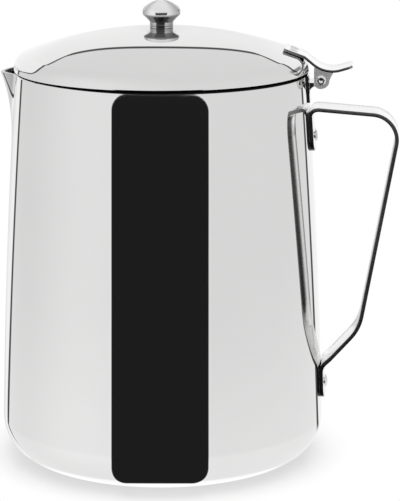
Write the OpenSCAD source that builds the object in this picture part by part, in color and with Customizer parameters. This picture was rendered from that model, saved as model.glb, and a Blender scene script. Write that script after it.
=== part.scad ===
// Lidded carafe: a tapered jug of polished sheet steel with a strip handle,
// a pressed pouring lip and a domed lid that is hinged at the handle side.
// Up is +Z, the handle is at +X and the lip at -X. Lengths are in millimetres.

/* [Body] */
// Outside diameter at the foot
foot_d = 136; // [116:1:156]
// Outside diameter of the rim
mouth_d = 120; // [104:1:136]
// Height of the rim above the table
body_h = 161; // [140:1:190]
// How far the wall bows out of a straight cone
belly = 1.1; // [0:0.1:3]
// Thickness of the body sheet
wall_t = 0.8; // [0.6:0.1:1.2]
// How far the rounded foot edge curves inwards
foot_edge_r = 14; // [6:0.5:18]
// Height of the rounded foot edge
foot_edge_h = 16; // [6:0.5:20]
// Height of the upright part of the base pan above its rounded edge
pan_wall_h = 2; // [1:0.5:6]
// Width of the flat ring that stands on the table
foot_ring_w = 9; // [5:1:20]
// How far the middle of the base is pressed up
base_rise = 1.8; // [1:0.2:4]
// Height of the hem folded inwards at the rim
rim_hem_h = 3; // [2:0.5:6]

/* [Pouring lip] */
// How far the tip of the lip reaches out of the wall
lip_reach = 6.8; // [4:0.2:10]
// Half of the angle that the lip takes of the rim
lip_half_angle = 16; // [10:1:22]
// Height of the lip, from its lower end to the rim
lip_h = 45; // [30:1:60]
// How far the tip lies below the rim
lip_dip = 0.8; // [0:0.1:2]

/* [Handle] */
// Width of the handle strip
strip_w = 17; // [12:0.5:22]
// Thickness of the handle strip
strip_t = 1.6; // [1.2:0.1:2.5]
// Depth of the upper rivet below the rim
upper_rivet_drop = 26; // [22:0.5:36]
// Height of the lower rivet above the table
lower_rivet_z = 30; // [26:0.5:40]
// Length of each tab beyond its rivet
tab_end_l = 5.8; // [4:0.2:8]
// Length of the upper tab from its rivet to the bend
upper_tab_l = 12; // [9:0.5:14]
// Length of the lower tab from its rivet to the bend
lower_tab_l = 8; // [7:0.5:14]
// Depth of the upper grip corner below the rim
grip_top_drop = 16.8; // [15:0.2:24]
// Distance from the wall to the upper grip corner
grip_top_reach = 37.5; // [32:0.1:50]
// Height of the lower grip corner above the table
grip_low_z = 55; // [48:1:66]
// Distance from the wall to the lower grip corner
grip_low_reach = 16.6; // [12:0.2:26]
// Middle radius of the bend above the upper tab
top_bend_r = 2.8; // [2:0.2:5]
// Middle radius of the large bend above the grip
grip_bend_r = 10.6; // [6:0.2:14]
// Middle radius of the bend below the grip
low_bend_r = 19; // [10:1:24]
// Middle radius of the bend above the lower tab
tab_bend_r = 6; // [4:0.5:9]
// Corner radius of the strip ends, seen from the front
strip_end_r = 4.5; // [2:0.5:6]
// Shank diameter of the handle rivets
rivet_d = 3; // [2.5:0.1:4]
// Head diameter of the handle rivets
rivet_head_d = 5.6; // [5:0.1:7.5]
// Height of the rivet heads
rivet_head_h = 1; // [0.6:0.1:1.6]

/* [Lid] */
// How far the lid reaches out over the rim
lid_overhang = 0.7; // [0.2:0.1:2]
// Thickness of the lid sheet
lid_t = 0.8; // [0.6:0.1:1.2]
// Radius of the dome
dome_r = 161; // [110:1:220]
// Outside radius of the rounded lid edge
lid_edge_r = 6; // [4:0.5:9]
// Height of the upright band below the rounded edge
lid_band_h = 0.9; // [0.9:0.1:4]
// Width of the hem folded inwards below the lid
lid_hem_w = 3; // [2:0.2:5]
// Gap between the closed lid and the rim
lid_gap = 0.8; // [0.3:0.1:1.5]

/* [Knob] */
// Largest diameter of the knob
knob_d = 15.6; // [11:0.2:20]
// Height of the knob above its collar
knob_h = 10.4; // [9:0.2:16]
// Diameter of the knob neck
neck_d = 9.6; // [8:0.2:10.6]
// Diameter of the flat on top of the knob
knob_flat_d = 3.4; // [2:0.2:5]
// Height of the widest part above the collar
knob_belt_h = 5.7; // [4.5:0.1:6.5]
// Thickness of the collar between knob and lid
collar_t = 0.9; // [0.6:0.1:2]
// Thread diameter of the knob screw
screw_d = 4; // [3:0.5:5]
// Length of the knob screw below its head
screw_l = 9; // [8:0.5:10]
// Head diameter of the knob screw
screw_head_d = 7.5; // [6.5:0.1:9]
// Height of the screw head
screw_head_h = 2.6; // [2:0.1:3.5]
// Diameter of the washer under the screw head
washer_d = 10; // [9.2:0.2:14]
// Thickness of the washer
washer_t = 0.9; // [0.6:0.1:1.5]

/* [Hinge] */
// Distance from the rim to the hinge pin axis
pin_out = 5.7; // [5.2:0.1:7.5]
// Depth of the hinge pin axis below the rim
pin_drop = 2.1; // [1.8:0.1:3.2]
// Diameter of the hinge pin
pin_d = 2.6; // [2:0.1:3]
// Head diameter of the hinge pin
pin_head_d = 4.2; // [3.8:0.1:5]
// Height of the hinge pin heads
pin_head_h = 0.8; // [0.5:0.1:1.5]
// Outside diameter of the bracket knuckle
knuckle_d = 5.2; // [4.6:0.1:5.6]
// Thickness of the bracket plate on the wall
bracket_t = 1; // [0.8:0.1:1.5]
// Thickness of the bracket arm below the knuckle
arm_t = 1.3; // [0.9:0.1:2]
// Radius of the hollow between the bracket plate and its arm
arm_hollow_r = 3.4; // [1:0.2:3.6]
// Depth of the lower end of the bracket plate below the rim
bracket_drop = 11.6; // [9:0.2:11.8]
// Width of the thumb lever over its ears
lever_w = 16; // [14:0.5:20]
// Thickness of the lever plate
lever_t = 1.1; // [0.9:0.1:1.4]
// Distance from the edge of the lid in to the lever rivets
lever_rivet_in = 6.7; // [6.1:0.1:10.7]
// Length of the lever pad on either side of its rivets
pad_half_l = 4; // [3:0.2:4.6]
// Distance from the hinge pin to the tip of the lever
lever_tip_l = 12.6; // [9:0.2:15]
// Height of the lever tip above the hinge pin
lever_tip_h = 5.6; // [4:0.2:8]
// Radius of the lever bend over the hinge pin
lever_bend_r = 12; // [8:0.5:13]
// Outside radius of the lever ears
ear_r = 3.6; // [3.2:0.1:4]
// Gap on either side between knuckle and ears
ear_gap = 0.3; // [0.2:0.1:1]
// Distance between the two lever rivets
lever_rivet_gap = 8; // [6:0.5:10]
// Shank diameter of the lever rivets
lever_rivet_d = 2; // [1.6:0.1:2.4]
// Head diameter of the lever rivets
lever_rivet_head_d = 3.8; // [3.4:0.1:4.6]
// Height of the lever rivet heads
lever_rivet_head_h = 0.6; // [0.4:0.1:1]

/* [Fits] */
// Gap left around each shank in its hole
hole_fit = 0.05; // [0.02:0.01:0.1]
// Gap between a fixed piece and the curved face it sits on
seat_fit = 0.03; // [0.02:0.01:0.1]

/* [Hidden] */
$fn = 96;
weld_z = foot_edge_h + pan_wall_h;
lip_z = body_h - lip_h;
foot_flat_r = wall_r(foot_edge_h) - foot_edge_r;
lid_z = body_h + lid_gap;
lid_r = mouth_d / 2 + lid_overhang;
edge_c_r = lid_r - lid_edge_r;
edge_c_z = lid_z + lid_band_h;
dome_c_z = edge_c_z - sqrt(pow(dome_r - lid_edge_r, 2) - pow(edge_c_r, 2));
edge_turn = atan2(edge_c_r, edge_c_z - dome_c_z);
crown_z = dome_c_z + dome_r;
knob_z = crown_z + collar_t;
washer_sag = dome_r - sqrt(pow(dome_r, 2) - pow(washer_d / 2, 2));
washer_top = crown_z - lid_t - washer_sag - seat_fit;
screw_top = washer_top - washer_t;
pin_x = mouth_d / 2 + pin_out;
pin_z = body_h - pin_drop;
ear_in = lever_w / 2 - lever_t;
knuckle_w = 2 * (ear_in - ear_gap);
rivet_hole_r = rivet_d / 2 + hole_fit;
upper_rivet_z = body_h - upper_rivet_drop;

// Outside radius of the wall at a height
function wall_r(z) = let (t = z / body_h)
    foot_d / 2 * (1 - t) + mouth_d / 2 * t + 4 * belly * t * (1 - t);
// Angle that the wall leans inwards at a height
function wall_lean(z) = atan((foot_d - mouth_d - 8 * belly * (1 - 2 * z / body_h)) / (2 * body_h));
// Height of the outside of the dome at a radius
function dome_z(r) = dome_c_z + sqrt(pow(dome_r, 2) - pow(r, 2));
// Points of an arc, with angles counted from the upright
function arc(r, z, size, from, to, n) = [for (i = [0:n]) let (a = from + (to - from) * i / n)
    [r + size * sin(a), z + size * cos(a)]];
// Points of the rounded foot edge from its upper end to the table, moved inwards by t
function foot_arc(t, n) = [for (i = [0:n]) let (a = 90 * i / n)
    [foot_flat_r + (foot_edge_r - t) * cos(a), foot_edge_h - (foot_edge_h - t) * sin(a)]];
function unit(v) = v / norm(v);
function left(v) = [-v[1], v[0]];
function reverse(list) = [for (i = [len(list) - 1:-1:0]) list[i]];
// One rounded corner of a path, moved sideways by s
function bend(a, b, c, r, s, n) = let (
        u = unit(a - b),
        w = unit(c - b),
        half = acos(u * w) / 2,
        mid = b + unit(u + w) * r / sin(half),
        start = b + u * r / tan(half) - mid,
        stop = b + w * r / tan(half) - mid,
        from = atan2(start[1], start[0]),
        gone = atan2(stop[1], stop[0]) - from,
        turn = gone > 180 ? gone - 360 : gone < -180 ? gone + 360 : gone)
    [for (i = [0:n]) mid + (r - s * sign(turn)) * [cos(from + turn * i / n), sin(from + turn * i / n)]];
// One side of a bent strip
function strip_side(c, r, s) = let (last = len(c) - 1) concat(
    [c[0] + s * left(unit(c[1] - c[0]))],
    [for (i = [1:last - 1]) each bend(c[i - 1], c[i], c[i + 1], r[i - 1], s, 8)],
    [c[last] + s * left(unit(c[last] - c[last - 1]))]);
// Outline of a bent strip from the corners of its middle line
function strip_outline(c, r, t) = concat(strip_side(c, r, t / 2), reverse(strip_side(c, r, -t / 2)));

// Corners of the handle strip, tangent to the wall at both rivets
function wall_out(z) = [cos(wall_lean(z)), sin(wall_lean(z))];
function wall_up(z) = [-sin(wall_lean(z)), cos(wall_lean(z))];
function strip_at(z) = [wall_r(z), z] + wall_out(z) * (seat_fit + strip_t / 2);
grip_top_z = body_h - grip_top_drop;
handle_path = [
    strip_at(upper_rivet_z) - wall_up(upper_rivet_z) * tab_end_l,
    strip_at(upper_rivet_z) + wall_up(upper_rivet_z) * upper_tab_l,
    [wall_r(grip_top_z) + grip_top_reach, grip_top_z],
    [wall_r(grip_low_z) + grip_low_reach, grip_low_z],
    strip_at(lower_rivet_z) + wall_up(lower_rivet_z) * lower_tab_l,
    strip_at(lower_rivet_z) - wall_up(lower_rivet_z) * tab_end_l];
handle_bends = [top_bend_r, grip_bend_r, low_bend_r, tab_bend_r];

// Corners of the lever plate, with its pad tangent to the dome
lever_rivet_x = lid_r - lever_rivet_in;
pad_lean = asin(lever_rivet_x / dome_r);
pad_up = [sin(pad_lean), cos(pad_lean)];
pad_out = [cos(pad_lean), -sin(pad_lean)];
pad_mid = [lever_rivet_x, dome_z(lever_rivet_x)] + pad_up * (seat_fit + lever_t / 2);
lever_path = [
    pad_mid - pad_out * pad_half_l,
    pad_mid + pad_out * (pad_half_l + 1),
    [pin_x + 1.8, pin_z + 2.3],
    [pin_x + lever_tip_l, pin_z + lever_tip_h]];

// Solid of revolution inside the outer face of the wall, grown by a gap
module wall_solid(gap) {
    rotate_extrude()
        polygon(concat([[0, 0]], [for (i = [0:12]) [wall_r(body_h * i / 12) + gap, body_h * i / 12]], [[0, body_h]]));
}

// Places a shape with its +Z along the outward normal of the wall
module on_wall(z) {
    translate([wall_r(z), 0, z])
        rotate([0, 90 - wall_lean(z), 0])
            children();
}

// Places a shape with its +Z along the outward normal of the lever pad
module on_pad(y) {
    translate([lever_rivet_x, y, dome_z(lever_rivet_x)])
        rotate([0, pad_lean, 0])
            children();
}

// Rivet along Z with a domed head on top and a flat head below
module rivet(shank_d, head_d, head_h, top, bottom, tail_h) {
    rotate_extrude()
        polygon(concat(
            [[0, top + head_h]],
            [for (i = [1:8]) [head_d / 2 * sin(90 * i / 8), top + head_h * cos(90 * i / 8)]],
            [[shank_d / 2, top], [shank_d / 2, bottom], [head_d / 2, bottom], [head_d / 2 - tail_h / 2, bottom - tail_h],
                [0, bottom - tail_h]]));
}

// Cuts that round the two corners at the end of a strip
module end_cuts(x, z) {
    for (side = [-1, 1])
        difference() {
            translate([x - 6, side > 0 ? strip_w / 2 - strip_end_r : -strip_w / 2 - 1, z - 1])
                cube([14, strip_end_r + 1, strip_end_r + 1]);
            translate([x - 7, side * (strip_w / 2 - strip_end_r), z + strip_end_r])
                rotate([0, 90, 0])
                    cylinder(h = 16, r = strip_end_r);
        }
}

module body_wall() {
    hem_z = body_h - rim_hem_h;
    color("silver")
        difference() {
            rotate_extrude()
                polygon(concat(
                    [for (i = [0:12]) let (z = weld_z + (body_h - weld_z) * i / 12) [wall_r(z), z]],
                    [[wall_r(body_h) - 2 * wall_t, body_h], [wall_r(hem_z) - 2 * wall_t, hem_z]],
                    [for (i = [0:12]) let (z = hem_z - (hem_z - weld_z) * i / 12) [wall_r(z) - wall_t, z]]));
            translate([0, 0, lip_z - seat_fit])
                linear_extrude(lip_h + 2)
                    polygon([[0, 0], foot_d * [-1, tan(lip_half_angle)], foot_d * [-1, -tan(lip_half_angle)]]);
            on_wall(upper_rivet_z)
                cylinder(h = 8, r = rivet_hole_r, center = true);
            on_wall(lower_rivet_z)
                cylinder(h = 8, r = rivet_hole_r, center = true);
        }
}

module base_pan() {
    color("silver")
        rotate_extrude()
            polygon(concat(
                [[wall_r(weld_z), weld_z]],
                foot_arc(0, 12),
                [[foot_flat_r - foot_ring_w, 0], [foot_flat_r - foot_ring_w - base_rise, base_rise], [0, base_rise],
                    [0, base_rise + wall_t], [foot_flat_r - foot_ring_w - base_rise, base_rise + wall_t],
                    [foot_flat_r - foot_ring_w, wall_t]],
                reverse(foot_arc(wall_t, 12)),
                [[wall_r(weld_z) - wall_t, weld_z]]));
}

// Share of the full reach at side u from -1 to 1 and height v from 0 to 1
function lip_ridge(u) = (sqrt(1.03) - sqrt(u * u + 0.03)) / (sqrt(1.03) - sqrt(0.03));
function lip_swell(u) = pow(1 - u * u, 2);
function lip_side(u, v) = let (s = min(1, abs(u) / (0.45 + 0.55 * v)))
    v * lip_ridge(s) + (1 - v) * lip_swell(s);
function lip_point(u, v, t) = let (
        z = lip_z + (lip_h - lip_dip * lip_side(u, 1)) * v,
        r = wall_r(z) + lip_reach * pow(v, 3) * lip_side(u, v) - t,
        a = lip_half_angle * u)
    [-r * cos(a), -r * sin(a), z];

module pouring_lip() {
    nu = 24;
    nv = 16;
    row = nu + 1;
    all = row * (nv + 1);
    points = [for (t = [0, wall_t]) each [for (j = [0:nv]) each [for (i = [0:nu])
        lip_point(2 * i / nu - 1, j / nv, t)]]];
    quads = concat(
        [for (j = [0:nv - 1]) each [for (i = [0:nu - 1]) let (k = j * row + i) [k, k + row, k + row + 1, k + 1]]],
        [for (j = [0:nv - 1]) each [for (i = [0:nu - 1]) let (k = all + j * row + i) [k, k + 1, k + row + 1, k + row]]],
        [for (i = [0:nu - 1]) [i, i + 1, all + i + 1, all + i]],
        [for (i = [0:nu - 1]) let (k = nv * row + i) [k + 1, k, all + k, all + k + 1]],
        [for (j = [0:nv - 1]) let (k = j * row) [k + row, k, all + k, all + k + row]],
        [for (j = [0:nv - 1]) let (k = j * row + nu) [k, k + row, all + k + row, all + k]]);
    color("gainsboro")
        polyhedron(points, [for (q = quads) each [[q[0], q[1], q[2]], [q[0], q[2], q[3]]]], 4);
}

module hinge_bracket() {
    plate_z = body_h - bracket_drop;
    plate_top = body_h - 0.6;
    arm_z = pin_z - knuckle_d / 2;
    hollow_x = wall_r(arm_z - arm_hollow_r) + bracket_t - 0.2 + arm_hollow_r;
    color("darkgray")
        difference() {
            rotate([90, 0, 0])
                linear_extrude(knuckle_w, center = true)
                    difference() {
                        union() {
                            polygon([[wall_r(plate_z) - 2, plate_z], [wall_r(plate_z) + bracket_t, plate_z],
                                [wall_r(plate_top) + bracket_t, plate_top], [wall_r(plate_top) - 2, plate_top]]);
                            polygon(concat(
                                [[mouth_d / 2 - 1, arm_z - arm_hollow_r]],
                                arc(hollow_x, arm_z - arm_hollow_r, arm_hollow_r, -90, 0, 8),
                                [[pin_x, arm_z], [pin_x, arm_z + arm_t], [mouth_d / 2 - 1, arm_z + arm_t]]));
                            translate([pin_x, pin_z])
                                circle(d = knuckle_d);
                        }
                        translate([pin_x, pin_z])
                            circle(r = pin_d / 2 + hole_fit);
                    }
            wall_solid(seat_fit);
        }
}

module handle() {
    color("silver")
        difference() {
            rotate([90, 0, 0])
                linear_extrude(strip_w, center = true)
                    polygon(strip_outline(handle_path, handle_bends, strip_t));
            end_cuts(handle_path[0][0], handle_path[0][1]);
            end_cuts(handle_path[5][0], handle_path[5][1]);
            on_wall(upper_rivet_z)
                cylinder(h = 8, r = rivet_hole_r, center = true);
            on_wall(lower_rivet_z)
                cylinder(h = 8, r = rivet_hole_r, center = true);
        }
}

// The flat inner head clears the hollow face of the wall at its edge
module handle_rivet() {
    sag = pow(rivet_head_d / 2, 2) / mouth_d;
    rivet(rivet_d, rivet_head_d, rivet_head_h, seat_fit + strip_t, -wall_t - sag - 2 * seat_fit, 0.8);
}

module upper_rivet() {
    color("dimgray")
        on_wall(upper_rivet_z)
            handle_rivet();
}

module lower_rivet() {
    color("dimgray")
        on_wall(lower_rivet_z)
            handle_rivet();
}

module lid_shell() {
    color("silver")
        difference() {
            rotate_extrude()
                polygon(concat(
                    arc(0, dome_c_z, dome_r, 0, edge_turn, 12),
                    arc(edge_c_r, edge_c_z, lid_edge_r, edge_turn, 90, 8),
                    [[lid_r, lid_z], [lid_r - lid_hem_w, lid_z], [lid_r - lid_hem_w, lid_z + lid_t],
                        [lid_r - lid_t, lid_z + lid_t]],
                    reverse(arc(edge_c_r, edge_c_z, lid_edge_r - lid_t, edge_turn, 90, 8)),
                    reverse(arc(0, dome_c_z, dome_r - lid_t, 0, edge_turn, 12))));
            translate([0, 0, crown_z - 3])
                cylinder(h = 6, r = screw_d / 2 + hole_fit);
            for (side = [-1, 1])
                on_pad(side * lever_rivet_gap / 2)
                    cylinder(h = 6, r = lever_rivet_d / 2 + hole_fit, center = true);
        }
}

module knob() {
    belt = knob_d / 2;
    neck = neck_d / 2;
    flat = knob_flat_d / 2;
    color("gainsboro")
        translate([0, 0, knob_z])
            difference() {
                rotate_extrude()
                    polygon(concat(
                        [[0, 0], [neck, 0]],
                        [for (i = [0:8]) let (s = i / 8) [neck + (belt - neck) * pow(s, 1.2), 1 + (knob_belt_h - 1.4) * s]],
                        [for (i = [0:8]) let (s = 1 - i / 8) [flat + (belt - flat) * s,
                            knob_belt_h + (knob_h - knob_belt_h) * (1 - pow(s, 1.8))]],
                        [[0, knob_h]]));
                translate([0, 0, -1])
                    cylinder(h = screw_l, r = screw_d / 2 + hole_fit);
            }
}

module knob_collar() {
    color("darkgray")
        translate([0, 0, crown_z])
            difference() {
                cylinder(h = collar_t, d = neck_d);
                translate([0, 0, -1])
                    cylinder(h = collar_t + 2, r = screw_d / 2 + hole_fit);
            }
}

module knob_screw() {
    color("dimgray")
        difference() {
            union() {
                translate([0, 0, screw_top - screw_head_h])
                    cylinder(h = screw_head_h, d1 = screw_head_d - 1.2, d2 = screw_head_d);
                translate([0, 0, screw_top - 0.1])
                    cylinder(h = screw_l + 0.1, d = screw_d);
            }
            for (turn = [0, 90])
                rotate([0, 0, turn])
                    translate([-screw_d / 2, -0.5, screw_top - screw_head_h - 1])
                        cube([screw_d, 1, 2.2]);
        }
}

module knob_washer() {
    color("darkgray")
        translate([0, 0, washer_top - washer_t])
            difference() {
                cylinder(h = washer_t, d = washer_d);
                translate([0, 0, -1])
                    cylinder(h = washer_t + 2, r = screw_d / 2 + hole_fit);
            }
}

module lever_ear() {
    difference() {
        union() {
            circle(r = ear_r);
            polygon([[-0.8 * ear_r, 0], [ear_r, 0], [ear_r + 1.4, 3.4], [-0.8 * ear_r, 5.2]]);
        }
        translate([-1.8 * ear_r, -2 * ear_r])
            square([ear_r, 5 * ear_r]);
        circle(r = pin_d / 2 + hole_fit);
    }
}

module thumb_lever() {
    color("gainsboro")
        difference() {
            union() {
                rotate([90, 0, 0])
                    linear_extrude(lever_w, center = true)
                        polygon(strip_outline(lever_path, [4, lever_bend_r], lever_t));
                for (y = [-ear_in, lever_w / 2])
                    translate([pin_x, y, pin_z])
                        rotate([90, 0, 0])
                            linear_extrude(lever_t)
                                lever_ear();
            }
            for (side = [-1, 1])
                on_pad(side * lever_rivet_gap / 2)
                    cylinder(h = 6, r = lever_rivet_d / 2 + hole_fit, center = true);
        }
}

module lever_rivets() {
    sag = pow(lever_rivet_gap + lever_rivet_head_d, 2) / (6 * dome_r);
    color("dimgray")
        for (side = [-1, 1])
            on_pad(side * lever_rivet_gap / 2)
                rivet(lever_rivet_d, lever_rivet_head_d, lever_rivet_head_h, seat_fit + lever_t, -lid_t - sag - seat_fit, 0.6);
}

module hinge_pin() {
    color("dimgray")
        translate([pin_x, 0, pin_z])
            rotate([90, 0, 0])
                rotate_extrude()
                    polygon(concat(
                        [for (i = [0:6]) [pin_head_d / 2 * sin(90 * i / 6), lever_w / 2 + pin_head_h * cos(90 * i / 6)]],
                        [[pin_d / 2, lever_w / 2], [pin_d / 2, -lever_w / 2]],
                        [for (i = [6:-1:0]) [pin_head_d / 2 * sin(90 * i / 6), -lever_w / 2 - pin_head_h * cos(90 * i / 6)]]));
}

body_wall();
base_pan();
pouring_lip();
hinge_bracket();
handle();
upper_rivet();
lower_rivet();
lid_shell();
knob();
knob_collar();
knob_screw();
knob_washer();
thumb_lever();
lever_rivets();
hinge_pin();
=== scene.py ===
# %% [markdown]
# A lidded carafe of polished sheet steel. The packed model gives every piece its size and place, in metres,
# with the handle at +X, the pouring lip at -X and the table at zero height. This lesson dresses it: each
# step says what the piece is on the real carafe, how it could be made and why it is made the way it is here.

# %% The packed model
import math

import bmesh
import bpy
import numpy as np
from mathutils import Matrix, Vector


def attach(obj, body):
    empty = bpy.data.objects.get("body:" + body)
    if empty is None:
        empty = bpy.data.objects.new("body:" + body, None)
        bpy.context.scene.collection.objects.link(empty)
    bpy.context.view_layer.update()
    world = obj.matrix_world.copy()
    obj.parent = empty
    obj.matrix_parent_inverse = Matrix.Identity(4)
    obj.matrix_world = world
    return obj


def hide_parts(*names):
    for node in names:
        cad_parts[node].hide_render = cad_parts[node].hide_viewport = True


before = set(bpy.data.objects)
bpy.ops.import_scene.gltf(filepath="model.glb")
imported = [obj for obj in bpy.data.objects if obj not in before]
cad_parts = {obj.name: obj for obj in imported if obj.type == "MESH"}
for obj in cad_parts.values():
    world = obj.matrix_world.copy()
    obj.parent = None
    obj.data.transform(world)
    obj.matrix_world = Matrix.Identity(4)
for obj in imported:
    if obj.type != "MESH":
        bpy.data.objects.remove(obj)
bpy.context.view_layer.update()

scene = bpy.context.scene
scene.view_settings.view_transform = "Standard"

# %% [markdown]
# The camera comes first, so that every later step can be compared with the photograph. A long lens far away
# could be guessed and nudged, but the model's rim and foot are two circles, and their ellipses in the
# photograph fix the place, the tilt and the focal length. The values below are what those two ellipses give.

# %% The camera
MM = 0.001
CAMERA_PLACE = Vector((90.7, -862.96, 288.71)) * MM
CAMERA_AIM = Vector((-0.08419, 0.96986, -0.22867))
SENSOR, FOCAL_PX, PHOTO_H_PX = 36.0, 2125.72, 501
LENS = FOCAL_PX / PHOTO_H_PX * SENSOR

camera_data = bpy.data.cameras.new("camera")
camera_data.sensor_width = SENSOR
camera_data.lens = LENS
camera = bpy.data.objects.new("camera", camera_data)
camera.location = CAMERA_PLACE
camera.rotation_euler = CAMERA_AIM.to_track_quat("-Z", "Y").to_euler()
scene.collection.objects.link(camera)
scene.camera = camera
print("lens", round(LENS, 2), "mm at", [round(v, 4) for v in CAMERA_PLACE])

# %% [markdown]
# Materials are written as sums. A node tree can be wired by hand, but a formula is easier to read, so one
# small class wraps a socket: adding or multiplying two of them adds a Math node. Everything that isn't plain
# arithmetic comes from one method that takes the type of node, its settings and what goes into its sockets.


# %% A socket that behaves like a number
class Wire:
    """An output socket that can be added, multiplied and compared like a number."""

    def __init__(self, bench, socket):
        self.bench = bench
        self.socket = socket

    def math(self, operation, first, second=0.0):
        return self.bench.add("ShaderNodeMath", {"operation": operation}, {0: first, 1: second})[0]

    def __add__(self, other):
        return self.math("ADD", self, other)

    def __sub__(self, other):
        return self.math("SUBTRACT", self, other)

    def __rsub__(self, other):
        return self.math("SUBTRACT", other, self)

    def __mul__(self, other):
        return self.math("MULTIPLY", self, other)

    def __truediv__(self, other):
        return self.math("DIVIDE", self, other)

    def __rtruediv__(self, other):
        return self.math("DIVIDE", other, self)

    def __pow__(self, other):
        return self.math("POWER", self, other)

    def __abs__(self):
        return self.math("ABSOLUTE", self)

    __radd__, __rmul__ = __add__, __mul__

    def at_least(self, other):
        return self.math("MAXIMUM", self, other)

    def at_most(self, other):
        return self.math("MINIMUM", self, other)


class Made:
    """A node that was added; its outputs are asked for by name or number."""

    def __init__(self, bench, node):
        self.bench = bench
        self.node = node

    def __getitem__(self, key):
        return Wire(self.bench, self.node.outputs[key])


class Bench:
    """A node tree to work on."""

    def __init__(self, tree):
        self.tree = tree
        tree.nodes.clear()

    def add(self, kind, settings=None, inputs=None):
        node = self.tree.nodes.new(kind)
        for name, value in (settings or {}).items():
            if name == "stops":
                ramp = node.color_ramp.elements
                while len(ramp) < len(value):
                    ramp.new(1.0)
                for stop, (place, shade) in zip(ramp, value):
                    stop.position = place
                    stop.color = shade
            else:
                setattr(node, name, value)
        for key, value in (inputs or {}).items():
            socket = node.inputs[key]
            if isinstance(value, Wire):
                self.tree.links.new(value.socket, socket)
            else:
                socket.default_value = value
        return Made(self, node)

    def parts(self, vector):
        return self.add("ShaderNodeSeparateXYZ", None, {0: vector})

    def scaled(self, vector, by):
        return self.add("ShaderNodeVectorMath", {"operation": "MULTIPLY"}, {0: vector, 1: by})["Vector"]

    def fade(self, value, low, high):
        return self.add("ShaderNodeMapRange", {"interpolation_type": "SMOOTHSTEP"},
                        {"Value": value, "From Min": low, "From Max": high})["Result"]

    def blend(self, share, first, second):
        return self.add("ShaderNodeMix", {"data_type": "RGBA"}, {0: share, 6: first, 7: second})[2]

    def noise(self, vector, scale, detail=2.0):
        return self.add("ShaderNodeTexNoise", None,
                        {"Vector": vector, "Scale": scale, "Detail": detail})["Fac"]


def radius_of(at):
    """The distance from the upright axis of a place that was taken into its parts."""
    return (at["X"] * at["X"] + at["Y"] * at["Y"]) ** 0.5


print("a bench can", [name for name in vars(Bench) if not name.startswith("_")])

# %% [markdown]
# Polished steel has no colour of its own to speak of: it shows the room. What tells it from a perfect mirror
# is the polishing. The wheel runs round the body and leaves hair-fine lines that haze the reflection a
# little, and the drawn sheet is never quite true, so long reflections waver. A photograph of steel could be
# wrapped round it, but noise that is stretched along the wheel's path scales to any size and needs no file.


# %% Steel finishes
CLOUDS, SPOTS, SWELLS = 28.0, 210.0, 19.0  # how often the polish varies along a metre, and the sheet's swell
SHADED, LIT, LIT_BLUE = 0.96, 1.03, 1.022  # the shares of the tone between which the polish varies
SMOOTHEST, EXTRA_HAZE = 0.006, 0.2
# painted shade darker than this grey is made non-metallic below, so that it stays dark
DARK = 0.07  # a mark below this grey isn't bare metal


def grey(value):
    return (value, value, value, 1.0)


def blank(name):
    """A new material, the bench for its nodes, and the place on the piece in metres."""
    material = bpy.data.materials.new(name)
    material.use_nodes = True
    bench = Bench(material.node_tree)
    return material, bench, bench.add("ShaderNodeTexCoord")["Object"]


def steel(name, tone, haze, grain, waver, across, marks=None, soft_at=None):
    """A steel finish: tone is its grey, haze its roughness, grain the share that the polishing lines add.

    waver is how far the sheet is out of true, in metres, and across how often lines come along X, Y and Z.
    marks gives places with a grey of their own, which are painted shade and painted reflection; soft_at one
    with more haze."""
    material, bench, place = blank(name)
    lines = bench.noise(bench.scaled(place, across), 1.0, 3.0)
    clouds = bench.noise(place, CLOUDS)
    spots = bench.fade(bench.noise(place, SPOTS, 4.0), 0.62, 0.78)
    shade = bench.blend(clouds * 0.6 + lines * 0.4, grey(tone * SHADED),
                        (tone * LIT, tone * LIT, tone * LIT_BLUE, 1.0))
    bare = 1.0
    # the marks are painted shade and painted reflection, blended into the base colour
    for share, mark in (marks(bench, place) if marks else []):
        shade = bench.blend(share, shade, grey(mark))
        if mark < DARK:
            bare = bare - share
    rough = haze * (0.75 + clouds * 0.5) + grain * (lines - 0.5) + spots * haze * 0.35
    if soft_at:
        rough = rough + EXTRA_HAZE * soft_at(bench, place)
    swell = bench.noise(place, SWELLS, 1.0)
    bump = bench.add("ShaderNodeBump", None, {
        "Strength": 1.0, "Distance": waver, "Height": swell + lines * 0.01})["Normal"]
    # without a specular layer, bare metal looks the same and the dark painted shade doesn't shine
    body = bench.add("ShaderNodeBsdfPrincipled", None, {
        "Base Color": shade, "Metallic": bare, "Roughness": rough.at_least(SMOOTHEST), "Normal": bump,
        "Specular IOR Level": 0.0})
    bench.add("ShaderNodeOutputMaterial", None, {"Surface": body["BSDF"]})
    return material


SHEET_POLISH = {"tone": 0.82, "haze": 0.01, "grain": 0.004, "waver": 0.00002, "across": (60, 60, 2600)}
mirror_steel = steel("mirror_steel", **SHEET_POLISH)
satin_steel = steel("satin_steel", 0.84, 0.26, 0.12, 0.00004, (70, 70, 2600))
print("finishes", mirror_steel.name, satin_steel.name)

# %% [markdown]
# The pieces are sheet, strip and turned stock, so a few helpers make nearly all of them: one turns an outline
# round the upright axis, one runs a flat section along a bent path, and one thickens a flat outline. Each
# keeps its outline as a short list of points and arcs, in millimetres, as a drawing would.


# %% Making and placing pieces
HAIR = 0.9999  # the finer facets stay a hair inside the solids' box


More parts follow.
